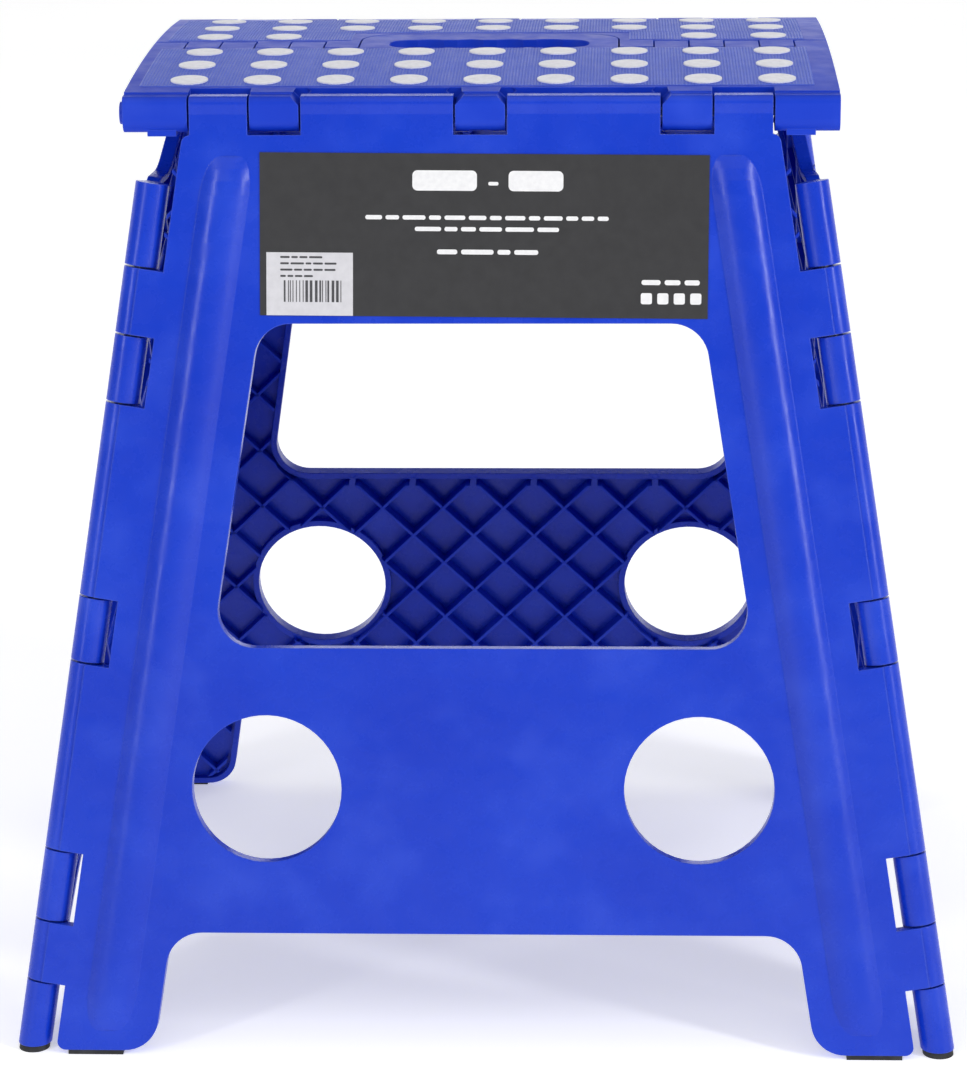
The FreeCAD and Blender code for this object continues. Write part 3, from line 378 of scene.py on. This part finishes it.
def rib_tree():
    """Two crossing families of bars, kept inside the outline that comes in as closed curves."""
    tree = bpy.data.node_groups.new("diamond_ribs", "GeometryNodeTree")
    face = tree.interface
    face.new_socket("Geometry", in_out="INPUT", socket_type="NodeSocketGeometry")
    for label in ("Pitch", "Width", "Low", "High", "Length", "Phase X", "Phase Y", "Crown",
                  "Limit", "Limit Across", "Limit Along"):
        face.new_socket(label, in_out="INPUT", socket_type="NodeSocketFloat")
    face.new_socket("Bars", in_out="INPUT", socket_type="NodeSocketInt")
    face.new_socket("Material", in_out="INPUT", socket_type="NodeSocketMaterial")
    face.new_socket("Geometry", in_out="OUTPUT", socket_type="NodeSocketGeometry")
    given = add(tree, "NodeGroupInput").outputs
    depth = add(tree, "ShaderNodeMath", {0: given["High"], 1: given["Low"]}, operation="SUBTRACT").outputs[0]
    middle = add(tree, "ShaderNodeMath", {0: given["High"], 1: given["Low"]}, operation="ADD").outputs[0]
    middle = add(tree, "ShaderNodeMath", {0: middle, 1: 0.5}, operation="MULTIPLY").outputs[0]
    # The outline becomes a closed block a little taller than the bars.
    tall = add(tree, "ShaderNodeMath", {0: depth, 1: 2.0}, operation="ADD").outputs[0]
    filled = add(tree, "GeometryNodeFillCurve", {0: given["Geometry"]}).outputs[0]
    raised = add(tree, "GeometryNodeExtrudeMesh", {"Mesh": filled, "Offset Scale": tall, "Individual": False})
    under = add(tree, "GeometryNodeFlipFaces", {0: filled}).outputs[0]
    block = add(tree, "GeometryNodeJoinGeometry")
    tree.links.new(raised.outputs[0], block.inputs[0])
    tree.links.new(under, block.inputs[0])
    welded = add(tree, "GeometryNodeMergeByDistance", {
        "Geometry": block.outputs[0], "Distance": 0.001,
    }).outputs[0]
    base = add(tree, "ShaderNodeMath", {0: given["Low"], 1: 1.0}, operation="SUBTRACT").outputs[0]
    base_place = add(tree, "ShaderNodeCombineXYZ", {"Z": base}).outputs[0]
    region = add(tree, "GeometryNodeTransform", {"Geometry": welded, "Translation": base_place}).outputs[0]
    # A row of places across the panel carries one bar each.
    spread = add(tree, "ShaderNodeMath", {0: given["Bars"], 1: 1.0}, operation="SUBTRACT").outputs[0]
    spread = add(tree, "ShaderNodeMath", {0: spread, 1: given["Pitch"]}, operation="MULTIPLY").outputs[0]
    first = add(tree, "ShaderNodeMath", {0: spread, 1: 0.5}, operation="MULTIPLY").outputs[0]
    first = add(tree, "ShaderNodeMath", {0: given["Phase X"], 1: first}, operation="SUBTRACT").outputs[0]
    start = add(tree, "ShaderNodeCombineXYZ", {"X": first, "Y": given["Phase Y"], "Z": middle}).outputs[0]
    step = add(tree, "ShaderNodeCombineXYZ", {"X": given["Pitch"]}).outputs[0]
    row = add(tree, "GeometryNodeMeshLine", {"Count": given["Bars"], "Start Location": start, "Offset": step})
    clipped = []
    for turn, lower in ((45.0, 0.0), (-45.0, LOWER_FAMILY_MM)):
        shallow = add(tree, "ShaderNodeMath", {0: depth, 1: lower}, operation="SUBTRACT").outputs[0]
        extent = add(tree, "ShaderNodeCombineXYZ", {
            "X": given["Width"], "Y": given["Length"], "Z": shallow,
        }).outputs[0]
        bar = add(tree, "GeometryNodeMeshCube", {"Size": extent, "Vertices Y": BAR_CUTS}).outputs[0]
        bars = add(tree, "GeometryNodeInstanceOnPoints", {
            "Points": row.outputs[0], "Instance": bar, "Rotation": (0.0, 0.0, math.radians(turn)),
        }).outputs[0]
        family = add(tree, "GeometryNodeRealizeInstances", {0: bars}).outputs[0]
        kept = add(tree, "GeometryNodeMeshBoolean", operation="INTERSECT", solver="EXACT")
        tree.links.new(family, kept.inputs[1])
        tree.links.new(region, kept.inputs[1])
        clipped.append(kept.outputs[0])
    lattice = add(tree, "GeometryNodeJoinGeometry")
    for part in clipped:
        tree.links.new(part, lattice.inputs[0])
    # The ribs are cut back to a slope towards each side, which leaves room for what folds against them.
    spot = add(tree, "GeometryNodeInputPosition").outputs[0]
    at = add(tree, "ShaderNodeSeparateXYZ", {0: spot}).outputs
    aside = add(tree, "ShaderNodeMath", {0: at["X"]}, operation="ABSOLUTE").outputs[0]
    across = add(tree, "ShaderNodeMath", {
        0: aside, 1: given["Limit Across"], 2: given["Limit"],
    }, operation="MULTIPLY_ADD").outputs[0]
    limit = add(tree, "ShaderNodeMath", {
        0: at["Y"], 1: given["Limit Along"], 2: across,
    }, operation="MULTIPLY_ADD").outputs[0]
    kept_back = add(tree, "ShaderNodeMath", {0: at["Z"], 1: limit}, operation="MAXIMUM").outputs[0]
    rise = add(tree, "ShaderNodeMath", {0: kept_back, 1: at["Z"]}, operation="SUBTRACT").outputs[0]
    # Under a crowned skin they follow its fall.
    fall = add(tree, "ShaderNodeMath", {0: at["Y"], 1: at["Y"]}, operation="MULTIPLY").outputs[0]
    fall = add(tree, "ShaderNodeMath", {0: fall, 1: given["Crown"]}, operation="MULTIPLY").outputs[0]
    shift = add(tree, "ShaderNodeMath", {0: rise, 1: fall}, operation="SUBTRACT").outputs[0]
    offset = add(tree, "ShaderNodeCombineXYZ", {"Z": shift}).outputs[0]
    settled = add(tree, "GeometryNodeSetPosition", {"Geometry": lattice.outputs[0], "Offset": offset})
    whole = add(tree, "GeometryNodeRealizeInstances", {0: settled.outputs[0]})
    finished = add(tree, "GeometryNodeSetMaterial", {
        "Geometry": whole.outputs[0], "Material": given["Material"],
    })
    add(tree, "NodeGroupOutput", {0: finished.outputs[0]})
    return tree


def grown(name, source, tree, values, place):
    """Runs a node tree on a source object and keeps the result as a plain mesh, put in its place."""
    modifier = source.modifiers.new("growth", "NODES")
    modifier.node_group = tree
    for item in tree.interface.items_tree:
        if item.in_out == "INPUT" and item.name in values:
            modifier[item.identifier] = values[item.name]
    source.update_tag()
    depsgraph = bpy.context.evaluated_depsgraph_get()
    mesh = bpy.data.meshes.new_from_object(source.evaluated_get(depsgraph))
    bpy.data.objects.remove(source)
    mesh.transform(place)
    mesh.name = name
    return link_object(name, mesh)


def outline_curve(name, loops):
    data = bpy.data.curves.new(name, "CURVE")
    data.dimensions = "2D"
    data.fill_mode = "NONE"
    for loop in loops:
        spline = data.splines.new("POLY")
        spline.points.add(len(loop) - 1)
        for point, (x, y) in zip(spline.points, loop):
            point.co = (x, y, 0.0, 1.0)
        spline.use_cyclic_u = True
    return link_object(name, data)


def panel_up(distance):
    """Height in the leg's own frame of a distance down the panel from the crown."""
    return TOP_DROP_MM - distance


def leg_rib_loops():
    outer = mirrored([
        (121.0, panel_up(24.0), 3.0), (172.0, panel_up(388.5), 3.0),
        (139.0, panel_up(388.5), 12.0), (131.0, panel_up(340.2), 15.0),
    ])
    window = mirrored([
        (91.0, panel_up(91.5), 17.0), (112.8, panel_up(229.8), 19.0),
    ])
    holes = [circle_loop(x, panel_up(282.9), 32.6) for x in (-87.5, 87.5)]
    return [rounded_loop(outer), rounded_loop(window)] + holes


diamond_ribs = rib_tree()
swing_up = Matrix.Rotation(math.pi / 2, 4, "X")
for rear in (False, True):
    body = "rear_leg" if rear else "front_leg"
    ribs = grown(body + "_ribs", outline_curve(body + "_outline", leg_rib_loops()), diamond_ribs, {
        "Pitch": RIB_PITCH_MM, "Width": RIB_WIDTH_MM, "Low": LEG_RIB_LOW_MM, "High": LEG_RIB_HIGH_MM,
        "Length": BAR_LENGTH_MM, "Phase X": 0.0, "Phase Y": panel_up(LEG_RIB_PHASE_MM), "Crown": 0.0,
        "Bars": 29, "Material": rib_blue, **LEG_LIMIT,
    }, leg_frame(rear) @ swing_up)
    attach(ribs, body)


# ---------------------------------------------------------------- ribs of the side halves
# Each side is two trays hinged down the middle, with the same crossing ribs moulded inside.
SIDE_SKIN_TURN = math.radians(2.6)
SIDE_NOTCH_MM = 9.8
SIDE_INSET_MM = 2.4
SIDE_SHELF_MM = (2.7, 5.1)
SIDE_TOP_MM = 367.0
SIDE_SHOULDER_MM = 350.0
SIDE_ARCH_MM = 75.0
SIDE_FOOT_MM = 6.5
SIDE_LEG_MM = 46.0


def hinge_line(name):
    joint = joints[name]
    return Vector(joint["pos_m"]), Vector(joint["axis"]).normalized()


corner_place, corner_axis = hinge_line("right_front_corner")
middle_place, middle_axis = hinge_line("right_side_middle")
corner_axis = corner_axis if corner_axis.z < 0 else -corner_axis
middle_axis = middle_axis if middle_axis.z > 0 else -middle_axis
APEX = intersect_line_line(
    corner_place, corner_place + corner_axis, middle_place, middle_place + middle_axis
)[1]
SIDE_HALF_ANGLE = corner_axis.angle(-middle_axis)


def side_frame(side, rear):
    """A side half's own frame in millimetres: origin where the hinges meet, Z up the middle hinge."""
    corner = Vector((side * corner_axis.x, corner_axis.y * (-1 if rear else 1), corner_axis.z))
    upward = Vector((side * middle_axis.x, middle_axis.y, middle_axis.z))
    flat = (corner - upward * corner.dot(upward)).normalized()
    outward = upward.cross(flat)
    outward *= 1 if outward.x * side > 0 else -1
    across = flat * math.cos(SIDE_SKIN_TURN) + outward * math.sin(SIDE_SKIN_TURN)
    turn = Matrix((across, upward.cross(across), upward)).transposed().to_4x4()
    return Matrix.Translation((side * APEX.x, APEX.y, APEX.z)) @ turn @ Matrix.Scale(MM, 4)


def side_level(height):
    """Local height of a height above the floor."""
    return (height - APEX.z / MM) / middle_axis.z


def side_edge(height):
    """The tray's edge beside its corner hinge, at a height above the floor."""
    along = -side_level(height) * math.tan(SIDE_HALF_ANGLE) * math.cos(SIDE_SKIN_TURN)
    return along - SIDE_NOTCH_MM / math.cos(SIDE_HALF_ANGLE) - SIDE_INSET_MM


def side_rib_loop():
    top = side_level(SIDE_TOP_MM) - SIDE_INSET_MM
    shoulder = side_level(SIDE_SHOULDER_MM) - SIDE_INSET_MM
    arch = side_level(SIDE_ARCH_MM) + SIDE_INSET_MM
    foot = side_level(SIDE_FOOT_MM) + SIDE_INSET_MM
    near = 5.1 + SIDE_INSET_MM
    return rounded_loop([
        (near, top, 2.0),
        (side_edge(SIDE_SHOULDER_MM) - 34.5, top, 8.0),
        (side_edge(SIDE_SHOULDER_MM) - 17.5, shoulder, 12.0),
        (side_edge(SIDE_SHOULDER_MM), shoulder, 2.0),
        (side_edge(SIDE_FOOT_MM), foot, 2.0),
        (side_edge(SIDE_FOOT_MM) - SIDE_LEG_MM + 18.5, foot, 10.0),
        (side_edge(SIDE_ARCH_MM) - SIDE_LEG_MM + 4.5, arch, 36.0),
        (near, arch, 2.0),
    ])


for side, hand in ((-1, "left"), (1, "right")):
    for rear in (False, True):
        body = f"{hand}_{'rear' if rear else 'front'}_side"
        outward = 1 if (side > 0) != rear else -1
        low, high = sorted(outward * depth for depth in SIDE_SHELF_MM)
        ribs = grown(body + "_ribs", outline_curve(body + "_outline", [side_rib_loop()]), diamond_ribs, {
            "Pitch": RIB_PITCH_MM, "Width": RIB_WIDTH_MM, "Low": low, "High": high,
            "Length": BAR_LENGTH_MM, "Phase X": 0.0, "Phase Y": side_level(210.0), "Crown": 0.0,
            "Bars": 31, "Material": rib_blue, **NO_LIMIT,
        }, side_frame(side, rear) @ swing_up)
        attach(ribs, body)


# ---------------------------------------------------------------- ribs under the tread
# The two halves of the tread are trays too. Their ribs hang from the crowned skin and stop
# above the rim, and the rear half leaves room for the handle.
CROWN_MM = 390.0
CROWN_DROP_MM = 3.6
CROWN_FALL = CROWN_DROP_MM / (TOP_HINGE.y / MM) ** 2
TREAD_SKIN_MM = 2.8
TREAD_RIB_MM = 4.4
tread_outlines = {
    "top_front": [(-138.9, -80.2, 0.5), (138.9, -80.2, 0.5), (138.9, -12.8, 0.5), (-138.9, -12.8, 0.5)],
    "top_rear": [
        (-138.9, 12.8, 0.5), (-57.4, 12.8, 0.5), (-57.4, 32.8, 18.0), (57.4, 32.8, 18.0),
        (57.4, 12.8, 0.5), (138.9, 12.8, 0.5), (138.9, 77.8, 0.5), (-138.9, 77.8, 0.5),
    ],
}
for body, corners in tread_outlines.items():
    ribs = grown(body + "_ribs", outline_curve(body + "_outline", [rounded_loop(corners)]), diamond_ribs, {
        "Pitch": RIB_PITCH_MM, "Width": RIB_WIDTH_MM,
        "Low": CROWN_MM - TREAD_SKIN_MM - TREAD_RIB_MM, "High": CROWN_MM - TREAD_SKIN_MM + 1.0,
        "Length": 260.0, "Phase X": 0.0, "Phase Y": 46.0 if body == "top_rear" else -46.0,
        "Crown": CROWN_FALL, "Bars": 17, "Material": rib_blue, **NO_LIMIT,
    }, Matrix.Scale(MM, 4))
    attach(ribs, body)


# ---------------------------------------------------------------- knurling of the tread
# The tread is moulded with a fine square knurl for grip, inside a smooth border and clear of
# the fingers and the handle. It is drawn at its real pitch.
KNURL_PITCH_MM = 1.25
KNURL_WIDTH_MM = 0.55
KNURL_RISE_MM = 0.22
KNURL_THICK_MM = 0.8
knurl_fields = {
    "top_front": ((-136.3, 132.0, -85.0, -10.6),),
    "top_rear": ((-136.3, 132.0, 34.0, 85.0), (-136.3, -58.6, 11.5, 32.8), (59.0, 132.0, 11.5, 32.8)),
}


def knurl_tree():
    """Fine raised lines both ways over a rectangle, following the crown."""
    tree = bpy.data.node_groups.new("square_knurl", "GeometryNodeTree")
    face = tree.interface
    face.new_socket("Geometry", in_out="INPUT", socket_type="NodeSocketGeometry")
    for label in ("Low X", "High X", "Low Y", "High Y", "Pitch", "Width", "Thickness", "Level", "Crown"):
        face.new_socket(label, in_out="INPUT", socket_type="NodeSocketFloat")
    for label in ("Columns", "Rows"):
        face.new_socket(label, in_out="INPUT", socket_type="NodeSocketInt")
    face.new_socket("Material", in_out="INPUT", socket_type="NodeSocketMaterial")
    face.new_socket("Geometry", in_out="OUTPUT", socket_type="NodeSocketGeometry")
    given = add(tree, "NodeGroupInput").outputs
    spans = []
    for low, high in (("Low X", "High X"), ("Low Y", "High Y")):
        length = add(tree, "ShaderNodeMath", {0: given[high], 1: given[low]}, operation="SUBTRACT").outputs[0]
        both = add(tree, "ShaderNodeMath", {0: given[high], 1: given[low]}, operation="ADD").outputs[0]
        middle = add(tree, "ShaderNodeMath", {0: both, 1: 0.5}, operation="MULTIPLY").outputs[0]
        spans.append((length, middle))
    (width, middle_x), (depth, middle_y) = spans
    lines = add(tree, "GeometryNodeJoinGeometry")
    families = (
        ("Columns", {"X": given["Low X"], "Y": middle_y}, "X", {"X": given["Width"], "Y": depth}, (2, 9)),
        ("Rows", {"X": middle_x, "Y": given["Low Y"]}, "Y", {"X": width, "Y": given["Width"]}, (2, 2)),
    )
    for count, begin, way, extent, cuts in families:
        start = add(tree, "ShaderNodeCombineXYZ", {**begin, "Z": given["Level"]}).outputs[0]
        step = add(tree, "ShaderNodeCombineXYZ", {way: given["Pitch"]}).outputs[0]
        row = add(tree, "GeometryNodeMeshLine", {
            "Count": given[count], "Start Location": start, "Offset": step,
        })
        size = add(tree, "ShaderNodeCombineXYZ", {**extent, "Z": given["Thickness"]}).outputs[0]
        line = add(tree, "GeometryNodeMeshCube", {"Size": size, "Vertices X": cuts[0], "Vertices Y": cuts[1]})
        laid = add(tree, "GeometryNodeInstanceOnPoints", {
            "Points": row.outputs[0], "Instance": line.outputs[0],
        })
        tree.links.new(laid.outputs[0], lines.inputs[0])
    whole = add(tree, "GeometryNodeRealizeInstances", {0: lines.outputs[0]}).outputs[0]
    spot = add(tree, "GeometryNodeInputPosition").outputs[0]
    along = add(tree, "ShaderNodeSeparateXYZ", {0: spot}).outputs["Y"]
    fall = add(tree, "ShaderNodeMath", {0: along, 1: along}, operation="MULTIPLY").outputs[0]
    fall = add(tree, "ShaderNodeMath", {0: fall, 1: given["Crown"]}, operation="MULTIPLY").outputs[0]
    drop = add(tree, "ShaderNodeMath", {0: fall, 1: -1.0}, operation="MULTIPLY").outputs[0]
    offset = add(tree, "ShaderNodeCombineXYZ", {"Z": drop}).outputs[0]
    settled = add(tree, "GeometryNodeSetPosition", {"Geometry": whole, "Offset": offset})
    finished = add(tree, "GeometryNodeSetMaterial", {
        "Geometry": settled.outputs[0], "Material": given["Material"],
    })
    add(tree, "NodeGroupOutput", {0: finished.outputs[0]})
    return tree


square_knurl = knurl_tree()
# The knurl is given a lighter blue than the rest of the same moulding. This is a painted sheen on the tread
# top.
knurl_painted_sheen = moulded_polypropylene("knurled_polypropylene_painted_sheen", ("3A56CC", "4461D8"), (0.42, 0.54), 0.6, 0.8)
for body, fields in knurl_fields.items():
    pieces = []
    for index, (low_x, high_x, low_y, high_y) in enumerate(fields):
        source = link_object(f"{body}_field_{index}", bpy.data.meshes.new(f"{body}_field_{index}"))
        pieces.append(grown(f"{body}_knurl_{index}", source, square_knurl, {
            "Low X": low_x, "High X": high_x, "Low Y": low_y, "High Y": high_y,
            "Pitch": KNURL_PITCH_MM, "Width": KNURL_WIDTH_MM, "Thickness": KNURL_THICK_MM,
            "Level": CROWN_MM + KNURL_RISE_MM - KNURL_THICK_MM / 2, "Crown": CROWN_FALL,
            "Columns": int((high_x - low_x) / KNURL_PITCH_MM) + 1,
            "Rows": int((high_y - low_y) / KNURL_PITCH_MM) + 1,
            "Material": knurl_painted_sheen,
        }, Matrix.Scale(MM, 4)))
    knurl = pieces[0]
    if len(pieces) > 1:
        with bpy.context.temp_override(active_object=knurl, selected_editable_objects=pieces):
            bpy.ops.object.join()
    knurl.name = body + "_knurl"
    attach(knurl, body)


# ---------------------------------------------------------------- grip dots
# Off-white discs of soft thermoplastic rubber are pressed into seats in the tread. They are
# matt, a little mottled, and slightly greyed where shoes rub.
DOT_PALE = "F4F4FA"
DOT_GREY = "E6E6EC"
DOT_MOTTLE_MM = 2.2
DOT_EDGE_MM = 0.5


def thermoplastic_rubber():
    """Soft matt rubber: slow mottling between two off-whites, and a fine dull grain."""
    material, tree = new_material("thermoplastic_rubber")
    where = add(tree, "ShaderNodeTexCoord").outputs["Object"]
    mottle = add(tree, "ShaderNodeTexNoise", {"Vector": where, "Scale": 1000 / DOT_MOTTLE_MM, "Detail": 4.0})
    shade = add(tree, "ShaderNodeValToRGB", {0: mottle.outputs["Fac"]})
    shade.color_ramp.elements[0].position = 0.25
    shade.color_ramp.elements[0].color = linear(DOT_GREY)
    shade.color_ramp.elements[1].position = 0.65
    shade.color_ramp.elements[1].color = linear(DOT_PALE)
    rounded_edge = add(tree, "ShaderNodeBevel", {"Radius": DOT_EDGE_MM * MM}, samples=4)
    bump = add(tree, "ShaderNodeBump", {
        "Height": mottle.outputs["Fac"], "Strength": 0.3, "Distance": 0.0001,
        "Normal": rounded_edge.outputs["Normal"],
    })
    surface = add(tree, "ShaderNodeBsdfPrincipled", {
        "Base Color": shade.outputs["Color"], "Roughness": 0.62, "IOR": 1.48,
        "Normal": bump.outputs["Normal"],
    })
    add(tree, "ShaderNodeOutputMaterial", {"Surface": surface.outputs[0]})
    return material


dot_rubber = thermoplastic_rubber()
for name in ("top_front_grip_dots", "top_rear_grip_dots"):
    give_material(nodes[name], dot_rubber)


# ---------------------------------------------------------------- rubber feet
# Flat pads and thin round feet of black vulcanised rubber sit under the mouldings. They are
# dull, with a dusty bloom.
FEET = [f"{hand}_{end}_{kind}" for hand in ("left", "right") for end in ("front", "rear")
        for kind in ("foot_pad", "round_foot")]
FOOT_BLACK = "17181B"
FOOT_DUSTY = "34363B"
FOOT_BLOOM_MM = 6.25
PEBBLES_PER_MM = 1.4


def vulcanised_rubber():
    """Black rubber: nearly matt, with a grey bloom in patches and a pebbled grain."""
    material, tree = new_material("vulcanised_rubber")
    where = add(tree, "ShaderNodeTexCoord").outputs["Object"]
    bloom = add(tree, "ShaderNodeTexNoise", {"Vector": where, "Scale": 1000 / FOOT_BLOOM_MM, "Detail": 5.0})
    shade = add(tree, "ShaderNodeValToRGB", {0: bloom.outputs["Fac"]})
    shade.color_ramp.elements[0].position = 0.4
    shade.color_ramp.elements[0].color = linear(FOOT_BLACK)
    shade.color_ramp.elements[1].position = 0.8
    shade.color_ramp.elements[1].color = linear(FOOT_DUSTY)
    pebble = add(tree, "ShaderNodeTexVoronoi", {"Vector": where, "Scale": 1000 * PEBBLES_PER_MM})
    bump = add(tree, "ShaderNodeBump", {
        "Height": pebble.outputs["Distance"], "Strength": 0.3, "Distance": 0.0001,
    })
    surface = add(tree, "ShaderNodeBsdfPrincipled", {
        "Base Color": shade.outputs["Color"], "Roughness": 0.72, "IOR": 1.52,
        "Normal": bump.outputs["Normal"],
    })
    add(tree, "ShaderNodeOutputMaterial", {"Surface": surface.outputs[0]})
    return material


black_rubber = vulcanised_rubber()
for name in FEET:
    give_material(nodes[name], black_rubber)


# ---------------------------------------------------------------- hinge rods
# The corner and middle hinges turn on drawn steel rods with a thin zinc coat. The two outer
# rods of the tread are moulded pins with flat heads, in the blue of the panels.
ZINC_DULL = "6C6E72"
ZINC_BRIGHT = "8A8C90"
ZINC_CLOUDS_PER_MM = 0.24
DRAWN_LINE_MM = 0.4


def zinc_plated_steel():
    """Drawn rod under zinc: a soft grey shine, drawn lines along it and cloudy passivation."""
    material, tree = new_material("zinc_plated_steel")
    where = add(tree, "ShaderNodeTexCoord").outputs["Object"]
    cloud = add(tree, "ShaderNodeTexNoise", {
        "Vector": where, "Scale": 1000 * ZINC_CLOUDS_PER_MM, "Detail": 4.0,
    })
    shade = add(tree, "ShaderNodeValToRGB", {0: cloud.outputs["Fac"]})
    shade.color_ramp.elements[0].color = linear(ZINC_DULL)
    shade.color_ramp.elements[1].color = linear(ZINC_BRIGHT)
    polish = add(tree, "ShaderNodeMapRange", {"Value": cloud.outputs["Fac"], "To Min": 0.38, "To Max": 0.55})
    drawn = add(tree, "ShaderNodeMapping", {
        "Vector": where, "Scale": (60.0, 1000 / DRAWN_LINE_MM, 1000 / DRAWN_LINE_MM),
    }).outputs[0]
    lines = add(tree, "ShaderNodeTexNoise", {"Vector": drawn, "Scale": 1.0, "Detail": 2.0})
    bump = add(tree, "ShaderNodeBump", {
        "Height": lines.outputs["Fac"], "Strength": 0.15, "Distance": 0.00005,
    })
    surface = add(tree, "ShaderNodeBsdfPrincipled", {
        "Base Color": shade.outputs["Color"], "Metallic": 1.0, "Roughness": polish.outputs["Result"],
        "Normal": bump.outputs["Normal"],
    })
    add(tree, "ShaderNodeOutputMaterial", {"Surface": surface.outputs[0]})
    return material


rod_steel = zinc_plated_steel()
for name in nodes:
    if "_rod" in name:
        outer_pin = name.startswith(("top_front_rod", "top_rear_rod"))
        give_material(nodes[name], satin_blue if outer_pin else rod_steel)


# ---------------------------------------------------------------- front label and its printing
# A dark grey vinyl label is stuck a little out of square on the front, with a white paper
# sticker on it. Plain bars stand for the printing.
LABEL_CENTRE = Vector((1.3, 0.0, panel_up(59.2)))
LABEL_TURN = Matrix.Rotation(math.radians(0.5), 4, "Y")
LABEL_FACE_MM = -7.68
STICKER_FACE_MM = -7.88
INK_MM = 0.04


def printed_film(name, dark, light, roughness, mottle_mm):
    """Printed film or paper: an even colour with a slight mottle, and its own dull or satin face."""
    material, tree = new_material(name)
    where = add(tree, "ShaderNodeTexCoord").outputs["Object"]
    mottle = add(tree, "ShaderNodeTexNoise", {"Vector": where, "Scale": 1000 / mottle_mm, "Detail": 4.0})
    shade = add(tree, "ShaderNodeValToRGB", {0: mottle.outputs["Fac"]})
    shade.color_ramp.elements[0].position = 0.3
    shade.color_ramp.elements[0].color = linear(dark)
    shade.color_ramp.elements[1].position = 0.7
    shade.color_ramp.elements[1].color = linear(light)
    ripple = add(tree, "ShaderNodeTexNoise", {"Vector": where, "Scale": 60.0, "Detail": 1.0})
    bump = add(tree, "ShaderNodeBump", {
        "Height": ripple.outputs["Fac"], "Strength": 0.12, "Distance": 0.0004,
    })
    surface = add(tree, "ShaderNodeBsdfPrincipled", {
        "Base Color": shade.outputs["Color"], "Roughness": roughness, "IOR": 1.5,
        "Normal": bump.outputs["Normal"],
    })
    add(tree, "ShaderNodeOutputMaterial", {"Surface": surface.outputs[0]})
    return material


give_material(nodes["front_label"], printed_film("satin_vinyl_film", "2C2C2E", "323234", 0.45, 5.0))
give_material(nodes["label_sticker"], printed_film("coated_paper", "C9C8CD", "D2D1D6", 0.55, 3.0))
white_ink = printed_film("white_ink", "E2E2E4", "ECECED", 0.5, 2.0)
black_ink = printed_film("black_ink", "3C3C40", "4A4A4E", 0.6, 2.0)


def word_bars(rng, left, right, drop, height):
    """A line of printing as bars of uneven length, like words."""
    bars = []
    x = left
    while x < right - 1.5:
        length = min(rng.uniform(4.0, 11.0) * height / 1.6, right - x)
        bars.append((x, x + length, drop - height / 2, drop + height / 2, height / 2.2))
        x += length + height * 0.8
    return bars


def printed(name, bars, level, material):
    """Thin raised ink in rounded bars, given as left, right, upper and lower distance, and radius."""
    bm = bmesh.new()
    for left, right_end, above, below, radius in bars:
        loop = rounded_loop([
            (left, panel_up(below), radius), (right_end, panel_up(below), radius),
            (right_end, panel_up(above), radius), (left, panel_up(above), radius),
        ])
        front = [bm.verts.new((x, level - INK_MM, z)) for x, z in loop]
        back = [bm.verts.new((x, level + INK_MM, z)) for x, z in loop]
        bm.faces.new(front)
        bm.faces.new(reversed(back))
        for index in range(len(loop)):
            following = (index + 1) % len(loop)
            bm.faces.new((front[following], front[index], back[index], back[following]))
    bmesh.ops.recalc_face_normals(bm, faces=bm.faces)
    mesh = bpy.data.meshes.new(name)
    bm.to_mesh(mesh)
    bm.free()
    mesh.materials.append(material)
    about = Matrix.Translation(LABEL_CENTRE)
    mesh.transform(leg_frame(False) @ about @ LABEL_TURN @ about.inverted())
    piece = link_object(name, mesh)
    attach(piece, "front_leg")
    return piece


words = random.Random(7)
title = [(-27.0, -1.5, 33.6, 41.6, 2.0), (3.0, 7.0, 38.0, 39.4, 0.6), (11.0, 32.6, 33.6, 41.6, 2.0)]
lines = word_bars(words, -45.6, 50.6, 52.2, 1.7) + word_bars(words, -26.0, 31.1, 56.7, 1.7)
lines += word_bars(words, -17.2, 22.9, 65.7, 1.9)
marks = word_bars(words, 63.8, 87.0, 77.2, 2.0)
marks += [(x - 2.2, x + 2.2, 81.4, 85.8, 0.8) for x in (65.8, 72.3, 78.8, 85.3)]
printed("label_printing", title + lines + marks, LABEL_FACE_MM, white_ink)
stripes = []
x = -78.0
while x < -55.0:
    width = words.choice((0.35, 0.35, 0.7, 1.05))
    stripes.append((x, x + width, 77.4, 86.0, 0.05))
    x += width + words.choice((0.4, 0.7, 1.0))
for drop, end in ((68.2, -62.0), (70.7, -56.8), (73.2, -57.4), (75.7, -66.4)):
    stripes += word_bars(words, -79.4, end, drop, 0.8)
printed("sticker_printing", stripes, STICKER_FACE_MM, black_ink)
